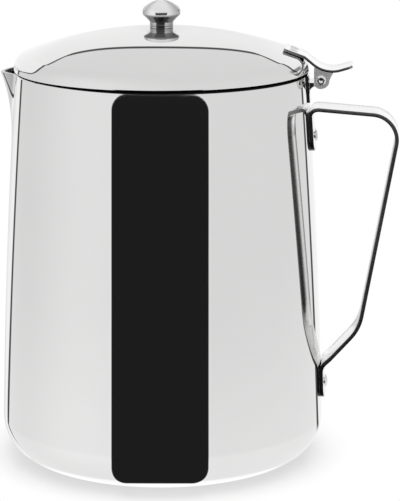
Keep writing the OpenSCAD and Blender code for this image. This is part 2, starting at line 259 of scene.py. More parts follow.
def place_piece(name, points, faces, finishes, body, nodes, finish_of=None, sharp=35.0):
    """Makes a piece from points in millimetres, which rides on a body and stands for some nodes."""
    mesh = bpy.data.meshes.new(name)
    placed = np.asarray(points, float) * (HAIR * MM, HAIR * MM, MM)
    mesh.from_pydata([tuple(p) for p in placed], [], [tuple(f) for f in faces])
    for finish in finishes:
        mesh.materials.append(finish)
    if finish_of is not None:
        mesh.polygons.foreach_set("material_index", np.asarray(finish_of, np.int32))
    work = bmesh.new()
    work.from_mesh(mesh)
    bmesh.ops.recalc_face_normals(work, faces=work.faces)
    work.to_mesh(mesh)
    work.free()
    mesh.shade_smooth()
    mesh.set_sharp_from_angle(angle=math.radians(sharp))
    piece = bpy.data.objects.new(name, mesh)
    scene.collection.objects.link(piece)
    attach(piece, body)
    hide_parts(*nodes)
    print(name, len(mesh.vertices), "points", len(mesh.polygons), "faces")


def arc(centre, size, start, stop, steps):
    """Points of an arc in an outline, with angles in degrees counted from the outward direction."""
    angles = np.radians(np.linspace(start, stop, steps + 1))
    return [(centre[0] + size * math.cos(a), centre[1] + size * math.sin(a)) for a in angles]


def band(low, high, count):
    """The faces between two rings of points, from the number of the first point of each."""
    return [(low + j, low + (j + 1) % count, high + (j + 1) % count, high + j) for j in range(count)]


def turn_round(outline, angles, closed):
    """Turns an outline of (radius, height) points round Z. An open outline starts and ends on the axis."""
    outline = np.asarray(outline, float)
    angles = np.asarray(angles, float)
    around = len(angles)
    rows = list(range(len(outline))) if closed else list(range(1, len(outline) - 1))
    points = [(outline[i, 0] * math.cos(a), outline[i, 0] * math.sin(a), outline[i, 1])
              for i in rows for a in angles]
    faces, row_of = [], []
    for k in range(len(rows) if closed else len(rows) - 1):
        faces += band(k * around, (k + 1) % len(rows) * around, around)
        row_of += [rows[k]] * around
    if not closed:
        for end, row, owner in ((0, 0, 0), (-1, (len(rows) - 1) * around, len(outline) - 2)):
            points.append((0.0, 0.0, outline[end, 1]))
            tip = len(points) - 1
            for j in range(around):
                faces.append((row + j, row + (j + 1) % around, tip))
                row_of.append(owner)
    return np.array(points), faces, np.array(row_of)


def even_turn(steps):
    return np.linspace(0, 2 * math.pi, steps, endpoint=False)


print("an arc of 90 degrees", np.round(arc((0, 0), 1, 0, 90, 2), 3).tolist())

# %% [markdown]
# The wall of the body is a cone that bows out a little, drawn and then polished. Near the rim the sheet is
# folded inwards to a hem, so the edge that is poured over is round. Opposite the handle a tool has pressed
# the sheet out into a beak: sharp at the rim, softer below, with its tip pulled slightly down. Wall and beak
# are one flowing surface on the carafe, so they are one mesh here: a turned wall whose points are pushed out
# by the same formula as the solid.

# %% Body sizes
FOOT_R, RIM_R, RIM_Z, BELLY, SHEET = 68.0, 60.0, 161.0, 1.1, 0.8
FOOT_EDGE, FOOT_EDGE_H, PAN_WALL, FOOT_RING, BASE_RISE, HEM = 14.0, 16.0, 2.0, 9.0, 1.8, 3.0
LIP_REACH, LIP_ANGLE, LIP_H, LIP_DIP = 6.8, math.radians(16), 45.0, 0.8
LIP_LOW_SHARE, LIP_BLUNT = 0.45, 0.03  # the beak's share of its width at its foot, and how round its fold is
WELD_Z = FOOT_EDGE_H + PAN_WALL
RIM_EASE = 0.35


def wall_r(z):
    t = z / RIM_Z
    return FOOT_R * (1 - t) + RIM_R * t + 4 * BELLY * t * (1 - t)


def lip_side(u, v):
    """How far the beak is pressed out, at u across it and v up it: a soft bulge below, a fold at the rim."""
    s = np.minimum(1, np.abs(u) / (LIP_LOW_SHARE + (1 - LIP_LOW_SHARE) * v))
    far, fold = math.sqrt(1 + LIP_BLUNT), math.sqrt(LIP_BLUNT)
    ridge = (far - np.sqrt(s * s + LIP_BLUNT)) / (far - fold)
    return v * ridge + (1 - v) * (1 - s * s) ** 2


def press_lip(points):
    """Pushes the points of the wall out to the beak."""
    radius = np.hypot(points[:, 0], points[:, 1])
    turn = np.arctan2(-points[:, 1], -points[:, 0])
    u = np.clip(turn / LIP_ANGLE, -1, 1)
    v = np.clip((points[:, 2] - RIM_Z + LIP_H) / (LIP_H - RIM_EASE), 0, 1)
    grown = radius + LIP_REACH * v ** 3 * lip_side(u, v)
    moved = points.copy()
    moved[:, 0] *= grown / radius
    moved[:, 1] *= grown / radius
    moved[:, 2] -= LIP_DIP * lip_side(u, np.ones_like(u)) * v
    return moved


print("wall radius at foot and rim", wall_r(0.0), wall_r(RIM_Z))

# %% [markdown]
# Two places of the wall are painted darker than the rest. The folded beak is painted a dimmer grey, a painted
# reflection of how little of the bright room it shows, and the narrow edge right under the lid carries
# painted shade from the lid, deepest towards the hinge. Masks could be painted for them, but the shape
# already says
# where they are: the beak is what stands out from the plain round wall.


# %% The finish of the wall and its painted shade
# the painted reflection grey of the beak and the painted shade grey under the lid
BEAK_REFLECTION_GREY, SHADE_GREY = 0.45, 0.015
SHADE_Z, SHADE_DEPTH, SHADE_SOFT = 160.9, 0.6, 0.1


def wall_painted_shade(bench, place):
    """A painted dimmer reflection on the pressed beak, and painted shade on the edge under the lid, deeper
    towards the hinge.
    """
    at = bench.parts(place)
    share = at["Z"] / (RIM_Z * MM)
    plain_r = FOOT_R * MM - (FOOT_R - RIM_R) * MM * share + 4 * BELLY * MM * share * (1 - share)
    drawn_out = bench.fade(radius_of(at) - plain_r, 0.3 * MM, 1.2 * MM)
    # painted reflection: the beak is painted a dimmer grey
    beak = drawn_out * bench.fade(0 - at["X"], 40 * MM, 50 * MM) * bench.fade(share, 0.86, 0.92)
    # painted shade of the lid along the wall's top edge, deeper towards the hinge
    shade_from = SHADE_Z * MM - SHADE_DEPTH * MM * bench.fade(at["X"], -50 * MM, 5 * MM)
    lid_shade = bench.fade(at["Z"], shade_from - SHADE_SOFT * MM, shade_from + SHADE_SOFT * MM)
    return [(beak, BEAK_REFLECTION_GREY), (lid_shade, SHADE_GREY)]


wall_steel_and_shade = steel("wall_steel_and_shade", **SHEET_POLISH, marks=wall_painted_shade)
print(wall_steel_and_shade.name, len(wall_steel_and_shade.node_tree.nodes), "nodes")

# %% [markdown]
# The outline of the wall runs up outside, over the rim, round the hem and down inside. It is turned in coarse
# steps where the wall is plain and in fine ones across the beak, so that its fold is crisp.

# %% The wall with its beak
COARSE_STEP, FINE_STEP, BEAK_FROM = 1.5, 0.5, 158.0
outside = [(wall_r(z), z) for z in [*np.linspace(WELD_Z, RIM_Z - RIM_EASE - 0.15, 90), RIM_Z - RIM_EASE]]
rim = arc((RIM_R - RIM_EASE, RIM_Z - RIM_EASE), RIM_EASE, 0, 90, 5)[1:]
rim += arc((RIM_R - 2 * SHEET + RIM_EASE, RIM_Z - RIM_EASE), RIM_EASE, 90, 180, 5)
hem_z = RIM_Z - HEM
hem_r = wall_r(hem_z)
hem = [(hem_r - 2 * SHEET, hem_z + 0.2), (hem_r - 1.8 * SHEET, hem_z), (hem_r - SHEET, hem_z - 0.1)]
inside = [(wall_r(z) - SHEET, z) for z in np.linspace(hem_z - 1, WELD_Z, 60)]
coarse = np.arange(-BEAK_FROM, BEAK_FROM + 0.1, COARSE_STEP)
fine = np.arange(BEAK_FROM + FINE_STEP, 360 - BEAK_FROM, FINE_STEP)
turns = np.radians(np.concatenate([coarse, fine]))
points, faces, rows = turn_round(outside + rim + hem + inside, turns, True)
satin = rows >= len(outside) + len(rim) - 1
place_piece("jug_wall", press_lip(points), faces, [wall_steel_and_shade, satin_steel], "jug",
            ["body_wall", "pouring_lip"], satin, sharp=50.0)

# %% [markdown]
# The bottom is a shallow pan, drawn with a generous edge and welded to the wall. The seam is ground flush, so
# only the round edge shows, as a bright line along the foot. Underneath, the middle is pressed up so that the
# carafe stands on a ring and doesn't rock. It is turned from one outline, with the underside left satin.

# %% The base pan
flat_r = wall_r(FOOT_EDGE_H) - FOOT_EDGE
ring_r = flat_r - FOOT_RING
MIDDLE_R = 20


def foot_edge(turn):
    """A point of the rounded edge, from its upper end at 0 degrees to the table at 90."""
    z = FOOT_EDGE_H * (1 - math.sin(math.radians(turn)))
    return wall_r(z) - (wall_r(0) - flat_r) * (1 - math.cos(math.radians(turn))), z


under = [(0, BASE_RISE), (MIDDLE_R, BASE_RISE), (ring_r - BASE_RISE - 1, BASE_RISE),
         (ring_r - BASE_RISE, BASE_RISE - 0.1), (ring_r - 0.3, 0.1), (ring_r + 0.4, 0), (flat_r, 0)]
edge = [foot_edge(turn) for turn in np.linspace(88, 0, 45)]
edge += [(wall_r(z), z) for z in np.linspace(FOOT_EDGE_H + 0.4, WELD_Z, 5)]
within = [(wall_r(WELD_Z) - SHEET, WELD_Z)]
within += [(flat_r + (FOOT_EDGE - SHEET) * math.cos(a), FOOT_EDGE_H - (FOOT_EDGE_H - SHEET) * math.sin(a))
           for a in np.radians(np.linspace(0, 90, 16))]
floor_z = BASE_RISE + SHEET
floor_in = [(ring_r, SHEET), (ring_r - BASE_RISE, floor_z), (MIDDLE_R, floor_z), (0, floor_z)]
points, faces, rows = turn_round(under + edge + within + floor_in, even_turn(240), False)
shown = (rows >= len(under) - 1) & (rows < len(under) + len(edge) - 1)
place_piece("jug_base", points, faces, [satin_steel, mirror_steel], "jug", ["base_pan"],
            shown, sharp=50.0)

# %% [markdown]
# The handle is one flat strip, bent four times: tab, top, grip, slope and tab again. A curve with a bevel
# could follow the path, but a bevelled curve twists and can't round the strip's ends. So the section, a
# flat bar with eased edges, is set square to the path at every step, and its width follows a round end.


# %% A strip along a bent path
def bent_path(corners, radii, step=3.0):
    """Points of a path with rounded corners, in the plane of X and Z."""
    corners = [np.array(c, float) for c in corners]
    path = [corners[0]]
    for before, here, after, radius in zip(corners, corners[1:], corners[2:], radii):
        back, on = before - here, after - here
        back, on = back / np.linalg.norm(back), on / np.linalg.norm(on)
        half = math.acos(float(back @ on)) / 2
        middle = here + (back + on) / np.linalg.norm(back + on) * radius / math.sin(half)
        start, stop = (here + d * radius / math.tan(half) - middle for d in (back, on))
        turn = math.atan2(start[0] * stop[1] - start[1] * stop[0], float(start @ stop))
        count = max(4, int(abs(math.degrees(turn)) / step))
        for a in np.linspace(0, turn, count + 1):
            path.append(middle + np.array([start[0] * math.cos(a) - start[1] * math.sin(a),
                                           start[0] * math.sin(a) + start[1] * math.cos(a)]))
    path.append(corners[-1])
    return np.array(path)


def divide(path, longest):
    """Adds points so that no stretch of a path is longer than asked."""
    out = [path[0]]
    for a, b in zip(path, path[1:]):
        count = max(1, int(math.ceil(np.linalg.norm(b - a) / longest)))
        out += [a + (b - a) * i / count for i in range(1, count + 1)]
    return np.array(out)


def divide_thrice(path, first, middle, last):
    """Divides the first stretch of a path, what lies between and the last stretch, each to its own length."""
    return np.concatenate([divide(path[:2], first)[:-1], divide(path[1:-1], middle)[:-1],
                           divide(path[-2:], last)])


EASE_STEPS = 5  # points on each eased edge of a strip
STRIP_RING = 4 * EASE_STEPS


def flat_bar(path, width, thick, ease, end_rounds):
    """A bar of flat section along a path, with eased long edges and rounded end corners."""
    gone = np.concatenate([[0], np.cumsum(np.linalg.norm(np.diff(path, axis=0), axis=1))])
    ends = []
    for size, from_end in zip(end_rounds, (gone, gone[-1] - gone)):
        left = np.clip(size - from_end, 0, size)
        ends.append(size - np.sqrt(np.maximum(size * size - left * left, 0)))
    half_w = width / 2 - ends[0] - ends[1]
    ahead = np.gradient(path, axis=0)
    ahead /= np.linalg.norm(ahead, axis=1)[:, None]
    side = np.stack([-ahead[:, 1], ahead[:, 0]], -1)
    quarter = np.radians(np.linspace(0, 90, EASE_STEPS))
    corners = ((1, 1, quarter), (-1, 1, quarter[::-1]), (-1, -1, quarter), (1, -1, quarter[::-1]))
    points, faces = [], []
    for p, n, w in zip(path, side, half_w):
        for sy, st, angles in corners:
            for a in angles:
                y = sy * (w - ease + ease * math.cos(a))
                t = st * (thick / 2 - ease + ease * math.sin(a))
                points.append((p[0] + n[0] * t, y, p[1] + n[1] * t))
    for i in range(len(path) - 1):
        faces += band(i * STRIP_RING, (i + 1) * STRIP_RING, STRIP_RING)
    faces.append(tuple(range(STRIP_RING)))
    faces.append(tuple((len(path) - 1) * STRIP_RING + j for j in range(STRIP_RING)))
    return points, faces


# where the sides of a strip lie in its ring of faces: the two long edges with half of their rounding
EDGES = [j % STRIP_RING for j in (*range(7, 12), *range(17, 22))]
INNER_SIDE = 14
print("a strip is", STRIP_RING, "points round, and its edges are", EDGES)

# %% [markdown]
# The strip has four finishes. Its outer side is polished bright. The side that faces the body is only
# brushed, because a polishing wheel doesn't fit into the closed loop, and it has painted shade towards its
# edges along the grip. The cut edges are grey, partly their satin finish and partly painted shade, and the
# shade is painted darkest on the tabs, where they lie against the wall.


# %% The finishes of the strip
# the greys of the painted shade along the edges of the grip's inner side
NEAR_SHADE_GREY, AWAY_SHADE_GREY = 0.1, 0.3


def grip_painted_shade(bench, place):
    """Painted shade on the inner side of the grip: dark along its edges, which roll away from the light."""
    at = bench.parts(place)
    streaks = bench.noise(bench.scaled(place, (40, 700, 12)), 1.0, 3.0)
    across = at["Y"] + 2 * MM * (streaks - 0.5)
    narrow = 6.6 * MM * bench.fade(at["Z"], 66 * MM, 52 * MM)
    held = bench.fade(at["Z"], 50 * MM, 64 * MM)
    # painted shade along the near edge and the far edge of the grip's inner side
    near = bench.fade(0 - across, narrow - 2.5 * MM, 0.6 * narrow + 3 * MM)
    away = bench.fade(across, 3.5 * MM, 7.5 * MM)
    return [(held * near, NEAR_SHADE_GREY), (held * away, AWAY_SHADE_GREY)]


CUT = {"haze": 0.3, "grain": 0.1, "waver": 0.00002, "across": (900, 900, 900)}
strip_steel = steel("strip_steel", 0.95, 0.17, 0.05, 0.00003, (150, 4200, 150))
inner_steel_and_shade = steel("inner_steel_and_shade", 0.82, 0.16, 0.1, 0.00003, (60, 1400, 20), grip_painted_shade)
# the grey of the cut edges is partly their satin finish and partly painted shade
edge_steel = steel("edge_steel", 0.25, **CUT)
# painted shade: the tabs' cut edges are painted darkest, where they lie against the wall
tab_edge_shade = steel("tab_edge_shade", 0.08, **CUT)
strip_finishes = [strip_steel, inner_steel_and_shade, edge_steel, tab_edge_shade]
OUTER, INNER, EDGE, TAB_EDGE_SHADE = range(len(strip_finishes))
print("strip finishes", [finish.name for finish in strip_finishes])

# %% [markdown]
# The path starts at the upper tab, which lies flat on the leaning wall, and ends at the lower one. Straight
# tabs would only touch the round wall along one line, so they are bent round it, as the fitter's press does.

# %% Handle sizes and the bent strip
STRIP_W, STRIP_T, STRIP_EASE, TAB_ROUND, SEAT = 17.0, 1.6, 0.08, 4.5, 0.03
UPPER_RIVET_Z, LOWER_RIVET_Z, TAB_END = RIM_Z - 26.0, 30.0, 5.8
UPPER_TAB, LOWER_TAB = 12.0, 8.0
GRIP_TOP_Z, GRIP_TOP_REACH, GRIP_LOW_Z, GRIP_LOW_REACH = RIM_Z - 16.8, 37.5, 55.0, 16.6
HANDLE_BENDS = (2.8, 10.6, 19.0, 6.0)


def wall_lean(z):
    return math.atan((2 * FOOT_R - 2 * RIM_R - 8 * BELLY * (1 - 2 * z / RIM_Z)) / (2 * RIM_Z))


def strip_at(z, along):
    """A point of the strip's middle line on a tab, with a distance along the wall from the rivet."""
    out = np.array([math.cos(wall_lean(z)), math.sin(wall_lean(z))])
    up = np.array([-out[1], out[0]])
    return np.array([wall_r(z), z]) + out * (SEAT + STRIP_T / 2) + up * along


def hug_wall(points):
    """Bends the tabs round the wall, and lets the bend run out where the strip leaves it."""
    bent = np.array(points, float)
    radius = wall_r(bent[:, 2])
    share = np.clip((4.0 - (bent[:, 0] - radius)) / 2.0, 0, 1)
    bent[:, 0] -= share * bent[:, 1] ** 2 / (2 * radius)
    return bent


handle_corners = [strip_at(UPPER_RIVET_Z, -TAB_END), strip_at(UPPER_RIVET_Z, UPPER_TAB),
                  (wall_r(GRIP_TOP_Z) + GRIP_TOP_REACH, GRIP_TOP_Z),
                  (wall_r(GRIP_LOW_Z) + GRIP_LOW_REACH, GRIP_LOW_Z),
                  strip_at(LOWER_RIVET_Z, LOWER_TAB), strip_at(LOWER_RIVET_Z, -TAB_END)]
handle_path = divide_thrice(bent_path(handle_corners, HANDLE_BENDS), 0.4, 2.0, 0.4)
points, faces = flat_bar(handle_path, STRIP_W, STRIP_T, STRIP_EASE, (TAB_ROUND, TAB_ROUND))

strip_z = handle_path[:, 1]
off_wall = handle_path[:, 0] - wall_r(strip_z)
on_tab = off_wall < 2.0
on_grip = (off_wall > 5.0) & (strip_z > LOWER_RIVET_Z + 9)
on_grip &= (strip_z < GRIP_TOP_Z - 3) | (off_wall > 30.0)
strip_part = []
for face in faces:
    side, step = face[0] % STRIP_RING, min(face[0] // STRIP_RING, len(handle_path) - 1)
    if len(face) != 4:
        strip_part.append(OUTER)
    elif side in EDGES:
        strip_part.append(TAB_EDGE_SHADE if on_tab[step] else EDGE)
    else:
        strip_part.append(INNER if side == INNER_SIDE and on_grip[step] else OUTER)
place_piece("handle_strip", hug_wall(points), faces, strip_finishes, "jug", ["handle"],
            strip_part)
print("inner side", strip_part.count(INNER), "faces of", len(faces))

# %% [markdown]
# Each tab is held by one rivet through the wall. The head outside is a low dome, the tail inside a flat
# button. Both come from one turned outline that is laid along the outward direction of the wall.


# %% Rivets
RIVET_R, RIVET_HEAD_R, RIVET_HEAD_H, RIVET_TAIL = 1.5, 2.8, 1.0, 0.8
RIVET_SAG = RIVET_HEAD_R ** 2 / (2 * RIM_R)  # how far the round wall falls away under a flat tail
rivet_steel = steel("rivet_steel", 0.8, 0.14, 0.06, 0.00002, (900, 900, 900))


def lay_along(points, place, lean):
    """Leans upright points over in the plane of X and Z, and moves them to a place."""
    c, s = math.cos(lean), math.sin(lean)
    x, y, z = np.asarray(points, float).T
    return np.stack([place[0] + x * c + z * s, place[1] + y, place[2] - x * s + z * c], -1)


def rivet_outline(shank, head_r, head_h, top, bottom, tail):
    dome = [(head_r * math.sin(a), top + head_h * math.cos(a)) for a in np.radians(np.linspace(0, 84, 13))]
    button = [(head_r, bottom), (head_r, bottom - tail * 0.5),
              (head_r - tail * 0.3, bottom - tail * 0.9), (head_r - tail * 0.6, bottom - tail)]
    return dome + [(head_r, top), (shank, top), (shank, bottom)] + button + [(0, bottom - tail)]


outline = rivet_outline(RIVET_R, RIVET_HEAD_R, RIVET_HEAD_H, SEAT + STRIP_T, -SHEET - RIVET_SAG - 2 * SEAT,
                        RIVET_TAIL)
for name, node, z in (("rivet_upper", "upper_rivet", UPPER_RIVET_Z),
                      ("rivet_lower", "lower_rivet", LOWER_RIVET_Z)):
    points, faces, _ = turn_round(outline, even_turn(48), False)
    points = lay_along(points, (wall_r(z), 0, z), math.pi / 2 - wall_lean(z))
    place_piece(name, points, faces, [rivet_steel], "jug", [node])

# %% [markdown]
# The lid is a spherical dome with a round edge that drops to a short band, which leans in a little towards
# the top. Below, the sheet is folded in to a narrow hem, which lies over the rim when the lid is shut. The
# outside is polished like the body, but hazier round the knob, where the wheel can't come close, and the
# underside is satin. It is turned from one outline with nearly the same arcs as the solid.


# %% The lid
LID_R, LID_T, DOME_R, LID_EDGE, LID_BAND, LID_HEM, LID_GAP = 60.7, 0.8, 161.0, 6.0, 0.9, 3.0, 0.8
LID_Z = RIM_Z + LID_GAP
HAZE_FROM_R, HAZE_FULL_R = 18.0, 8.5
edge_c = (LID_R - LID_EDGE, LID_Z + LID_BAND)
dome_c = edge_c[1] - math.sqrt((DOME_R - LID_EDGE) ** 2 - edge_c[0] ** 2)
CROWN_Z = dome_c + DOME_R
meet = math.degrees(math.atan2(edge_c[1] - dome_c, edge_c[0]))


def round_the_knob(bench, place):
    return bench.fade(radius_of(bench.parts(place)), HAZE_FROM_R * MM, HAZE_FULL_R * MM)


def dome_z(r):
    return dome_c + math.sqrt(DOME_R ** 2 - r * r)


lid_steel = steel("lid_steel", **SHEET_POLISH, soft_at=round_the_knob)
print("crown at", round(CROWN_Z, 2), "mm")

# %% [markdown]
# The band is drawn in by the lean, and the draw fades out over the round edge, so that no kink shows where
# the two meet. A straight band would mirror the dark front of the room as one long black stripe.

# %% The outline of the lid
FLARE_DEG, LIP_EASE, DOME_STEPS = 8, 0.2, 40
FLARE = math.radians(FLARE_DEG)
flare_top = edge_c[1] + LID_EDGE * math.sin(FLARE)
draw_in = math.tan(FLARE) * (flare_top - LID_Z - LIP_EASE) - LID_EDGE * (1 - math.cos(FLARE))
lid_out = arc((0, dome_c), DOME_R, 90, meet, DOME_STEPS)
fade_top = lid_out[DOME_STEPS - 1][1]
for r, z in arc(edge_c, LID_EDGE, meet, FLARE_DEG, 24)[1:]:
    up_share = (z - flare_top) / (fade_top - flare_top)
    lid_out.append((r - draw_in * (1 - up_share) ** 2 * (1 + 2 * up_share), z))
lid_out += [(LID_R - 0.1 * math.tan(FLARE), LID_Z + LIP_EASE + 0.1)]
lid_out += arc((LID_R - LIP_EASE, LID_Z + LIP_EASE), LIP_EASE, 0, -90, 5)
hem_r = LID_R - LID_HEM
lid_in = [(hem_r + 0.3, LID_Z), (hem_r, LID_Z + 0.3), (hem_r, LID_Z + LID_T),
          (LID_R - LID_T - 0.3, LID_Z + LID_T)]
lid_in += arc(edge_c, LID_EDGE - LID_T, 2, meet, 14) + arc((0, dome_c), DOME_R - LID_T, meet, 90, 24)[1:]
lid_outline = [(0.0, lid_out[0][1]), *lid_out[1:], *lid_in[:-1], (0.0, lid_in[-1][1])]
points, faces, rows = turn_round(lid_outline, even_turn(256), False)
satin = rows >= len(lid_out) - 1
place_piece("lid_dome", points, faces, [lid_steel, satin_steel], "lid", ["lid_shell"],
            satin, sharp=50.0)

# %% [markdown]
# The knob is turned from bar: a small flat on top, a rounded shoulder, a belt at its widest and a waist that
# runs down to the neck. Its greys are painted reflection: bright at the top, darker in the waist below the
# belt, darker at the sides, and a dark streak down the front and the back of the neck. A ramp over the height
# gives the greys.


# %% The finish of the knob and its painted reflection
COLLAR_T, KNOB_H = 0.9, 10.4
knob_z = CROWN_Z + COLLAR_T
SIDE_REFLECTION_GREY, STREAK_REFLECTION_GREY = 0.06, 0.03
# painted reflection greys by height, dark in the waist and bright on top
KNOB_REFLECTION_GREYS = ((0.0, 0.6), (0.13, 0.62), (0.16, 0.3), (0.38, 0.24),
              (0.42, 0.4), (0.48, 0.92), (0.7, 0.95), (1.0, 0.97))  # by height, from the neck to the top


def turned_steel_and_reflection():
    """Steel turned on a lathe: fine rings, with painted reflection that is bright at the top and darker in
    the waist.
    """
    material, bench, place = blank("knob_steel")
    at = bench.parts(place)
    share = (at["Z"] - knob_z * MM) / (KNOB_H * MM)
    stops = [(height, grey(tone)) for height, tone in KNOB_REFLECTION_GREYS]
    tone = bench.add("ShaderNodeValToRGB", {"stops": stops}, {"Fac": share})["Color"]
    rings = bench.noise(bench.scaled(place, (90, 90, 5200)), 1.0, 3.0)
    sideways = abs(at["X"]) / radius_of(at).at_least(0.1 * MM)
    # painted reflection: darker at the sides
    side_reflection = bench.fade(sideways, 0.4, 1.0)
    tone = bench.blend(rings * 0.1 + side_reflection * 0.5, tone, grey(SIDE_REFLECTION_GREY))
    # painted reflection: a dark streak down the front and the back of the neck
    streak = bench.fade(sideways, 0.44, 0.3) * bench.fade(share, 0.4, 0.3)
    tone = bench.blend(streak * (0.62 + 0.3 * bench.fade(share, 0.2, 0.14)), tone, grey(STREAK_REFLECTION_GREY))
    bump = bench.add("ShaderNodeBump", None, {
        "Strength": 0.2, "Distance": 0.01 * MM, "Height": rings})["Normal"]
    body = bench.add("ShaderNodeBsdfPrincipled", None, {
        "Base Color": tone, "Metallic": 1.0, "Roughness": 0.06 + rings * 0.08, "Normal": bump})
    bench.add("ShaderNodeOutputMaterial", None, {"Surface": body["BSDF"]})
    return material


knob_steel = turned_steel_and_reflection()
print(knob_steel.name, "from", KNOB_REFLECTION_GREYS[0][1], "at the neck to", KNOB_REFLECTION_GREYS[-1][1], "on top")

# %% [markdown]
# A smooth curve through a few measured radii gives the knob's outline, because arcs alone leave kinks that
# polished steel shows. A thin collar lies between the knob and the dome and shows as a fine ring.


# %% The knob and its collar
def smooth_through(knots, steps):
    """A smooth curve through a few points, by the Catmull-Rom rule."""
    knots = [np.array(k, float) for k in knots]
    padded = [2 * knots[0] - knots[1]] + knots + [2 * knots[-1] - knots[-2]]
    curve = []
    for a, b, c, d in zip(padded, padded[1:], padded[2:], padded[3:]):
        for t in np.linspace(0, 1, steps, endpoint=False):
            curve.append(0.5 * (2 * b + (c - a) * t + (2 * a - 5 * b + 4 * c - d) * t ** 2
                                + (3 * b - a - 3 * c + d) * t ** 3))
    return [tuple(p) for p in curve] + [tuple(knots[-1])]


KNOB_FLAT_R, NECK_R, SCREW_BORE_R = 1.1, 4.8, 2.05
shoulder = [(1.7, 10.33), (2.6, 10.08), (3.8, 9.6), (5.3, 8.8), (6.55, 7.95), (7.35, 7.15), (7.7, 6.4)]
waist = [(7.77, 5.7), (7.77, 4.95), (7.55, 4.4), (6.95, 3.8), (6.3, 3.2), (5.65, 2.5), (5.1, 1.9)]
neck = [(4.88, 1.62), (4.81, 1.5), (NECK_R, 1.35), (NECK_R, 0.25), (4.78, 0.12), (4.66, 0.0),
        (SCREW_BORE_R, 0.0)]
knob_outline = [(0, KNOB_H), (KNOB_FLAT_R, KNOB_H)] + smooth_through(shoulder + waist, 6) + neck + [(0, 0.0)]
points, faces, _ = turn_round(knob_outline, even_turn(128), False)
points[:, 2] += knob_z
place_piece("lid_knob", points, faces, [knob_steel], "lid", ["knob"], sharp=50.0)

ring = [(2.1, 0.0), (NECK_R - 0.1, 0.0), (NECK_R, 0.1), (NECK_R, 0.78), (NECK_R - 0.1, 0.88), (2.1, COLLAR_T)]
points, faces, _ = turn_round(ring, even_turn(96), True)
points[:, 2] += CROWN_Z
place_piece("neck_ring", points, faces, [knob_steel], "lid", ["knob_collar"])

# %% [markdown]
# The thumb lever is a pressed plate: a pad that is riveted to the dome, a dip over the hinge and a curled
# tip for the thumb. The plate is a bent strip like the handle, so the same helpers make it. It is polished
# bright; its cut edges are grey like those of the handle, partly satin finish and partly painted shade.

# %% Hinge sizes and the lever's plate
PIN_X, PIN_Z, PIN_R = RIM_R + 5.7, RIM_Z - 2.1, 1.3
LEVER_W, LEVER_T, LEVER_EASE, PAD_X, PAD_HALF = 16.0, 1.1, 0.1, 54.0, 4.0
PAD_ROUND, TIP_ROUND, LEVER_BENDS = 1.2, 2.0, (4.0, 12.0)
lever_steel = steel("lever_steel", 0.97, 0.06, 0.04, 0.00002, (300, 4200, 300))
pad_lean = math.asin(PAD_X / DOME_R)
pad_up = np.array([math.sin(pad_lean), math.cos(pad_lean)])
pad_on = np.array([math.cos(pad_lean), -math.sin(pad_lean)])
pad_mid = np.array([PAD_X, dome_z(PAD_X)]) + pad_up * (SEAT + LEVER_T / 2)
lever_corners = [pad_mid - pad_on * PAD_HALF, pad_mid + pad_on * (PAD_HALF + 1),
                 (PIN_X + 1.8, PIN_Z + 2.3), (PIN_X + 12.6, PIN_Z + 5.6)]
lever_path = divide_thrice(bent_path(lever_corners, LEVER_BENDS), 0.5, 0.8, 0.3)
plate = flat_bar(lever_path, LEVER_W, LEVER_T, LEVER_EASE, (PAD_ROUND, TIP_ROUND))
print("pad leans", round(math.degrees(pad_lean), 1), "degrees")

# %% [markdown]
# Two ears folded down from the sides of the plate hold the hinge pin. Each is a flat D that is thickened and
# eased at its edges. They are only brushed, so they are grey where the plate is white.


# %% The lever's ears
def thick_outline(outline, y_low, y_high, ease):
    """A flat outline in X and Z, thickened along Y, with its two rims drawn in by a small ease."""
    flat = np.array(outline, float)
    after = np.roll(flat, -1, axis=0)
    area = (flat[:, 0] * after[:, 1] - after[:, 0] * flat[:, 1]).sum()
    ahead = after - np.roll(flat, 1, axis=0)
    ahead /= np.linalg.norm(ahead, axis=1)[:, None]
    inward = np.stack([-ahead[:, 1], ahead[:, 0]], -1) * np.sign(area)
    points = []
    for y, pull in ((y_low, ease), (y_low + ease, 0.0), (y_high - ease, 0.0), (y_high, ease)):
        points += [(p[0], y, p[1]) for p in flat + inward * pull]
    count = len(flat)
    faces = [face for k in range(3) for face in band(k * count, (k + 1) * count, count)]
    faces += [tuple(range(count)), tuple(3 * count + j for j in range(count))]
    return points, faces


def merge(*parts):
    """Joins lists of points and faces into one."""
    points, faces = [], []
    for some_points, some_faces in parts:
        faces += [tuple(i + len(points) for i in face) for face in some_faces]
        points += [tuple(p) for p in some_points]
    return points, faces


EAR_R, EAR_EASE, EAR_TURN = 3.6, 0.2, 143.13
ear_steel = steel("ear_steel", 0.96, 0.42, 0.1, 0.00003, (900, 300, 900))
ear_outline = [(PIN_X + EAR_R * math.cos(a), PIN_Z + EAR_R * math.sin(a))
               for a in np.radians(np.linspace(-EAR_TURN, 0, 25))]
ear_outline += [(PIN_X + EAR_R + 0.5, PIN_Z + 1.4), (PIN_X + EAR_R + 1.4, PIN_Z + 3.4),
                (PIN_X - 0.8 * EAR_R, PIN_Z + 5.2)]
ears = [thick_outline(ear_outline, low, low + LEVER_T, EAR_EASE)
        for low in (-LEVER_W / 2, LEVER_W / 2 - LEVER_T)]
points, faces = merge(plate, *ears)
lever_finishes = [lever_steel, ear_steel, edge_steel]
lever_part = []
for i, face in enumerate(faces):
    on_plate = i < len(plate[1])
    # the plate's cut edges take the grey that is partly painted shade
    on_edge = on_plate and len(face) == 4 and face[0] % STRIP_RING in EDGES
    finish = edge_steel if on_edge else lever_steel if on_plate else ear_steel
    lever_part.append(lever_finishes.index(finish))
place_piece("lever_plate", points, faces, lever_finishes, "lid", ["thumb_lever"], lever_part)

